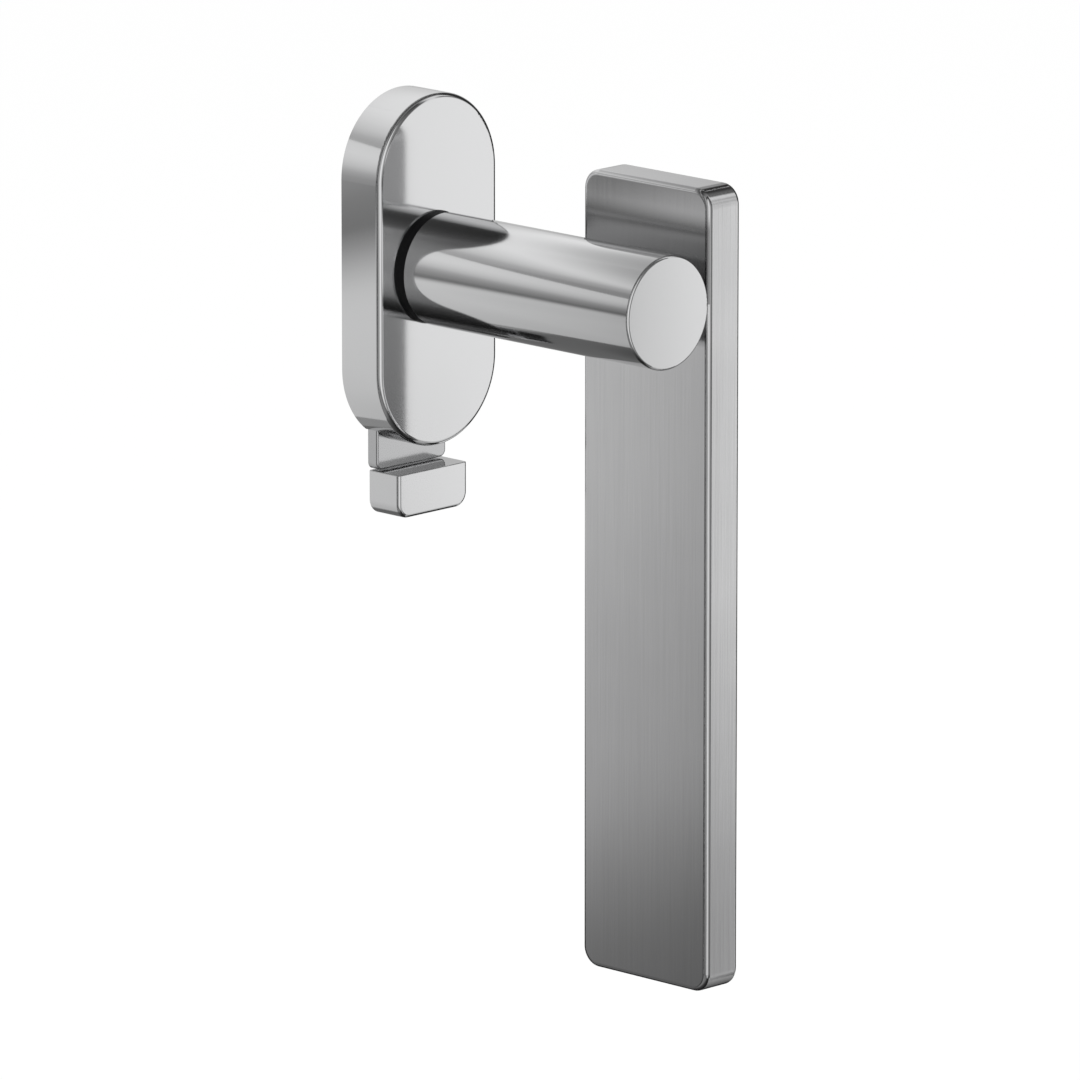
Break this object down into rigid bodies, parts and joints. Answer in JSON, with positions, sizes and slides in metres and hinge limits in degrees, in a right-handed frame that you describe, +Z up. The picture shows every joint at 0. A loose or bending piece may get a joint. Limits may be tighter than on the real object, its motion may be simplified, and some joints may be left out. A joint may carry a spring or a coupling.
{
  "type": "window handle",
  "caption": "Lockable window handle: oval rose, round neck and a flat grip hanging on its side, with a sliding thumb lock below the rose.",
  "frame": {"origin": "on the turning axis, in the plane that lies on the window frame", "axes": "+Z up, +X to the right seen from the room, +Y into the window along the turning axis"},
  "size_m": [0.0356, 0.0732, 0.1686],
  "materials": {
    "polished_metal": "polished",
    "brushed_metal": "brushed",
    "cast_metal": "as cast",
    "black_plastic": "matte",
    "spring_steel": "satin",
    "plated_steel": "zinc plated"
  },
  "bodies": {
    "rose": {"rose_cover": "polished_metal", "base_plate": "cast_metal", "neck_bush": "black_plastic", "thrust_washer": "spring_steel", "index_spring_left": "spring_steel", "index_spring_right": "spring_steel", "back_plate": "plated_steel", "back_plate_screws": "plated_steel", "lock_click_spring": "spring_steel", "cover_clip_left": "spring_steel", "cover_clip_right": "spring_steel"},
    "handle": {"neck": "polished_metal", "neck_spigot": "plated_steel", "grip_bar": "brushed_metal", "grip_dowel_front": "plated_steel", "grip_dowel_rear": "plated_steel", "index_cam": "cast_metal", "cam_circlip": "spring_steel"},
    "lock": {"lock_slide": "polished_metal", "lock_button": "polished_metal", "button_pins": "plated_steel"}
  },
  "joints": [
    {"name": "handle_turn", "type": "hinge", "parent": "rose", "child": "handle", "pos_m": [0, 0, 0], "axis": [0, 1, 0], "continuous": true, "deforming": ["index_spring_left", "index_spring_right"]},
    {"name": "lock_push", "type": "slide", "parent": "rose", "child": "lock", "axis": [0, 0, 1], "range_m": [0, 0.0045], "deforming": ["lock_click_spring"]}
  ]
}
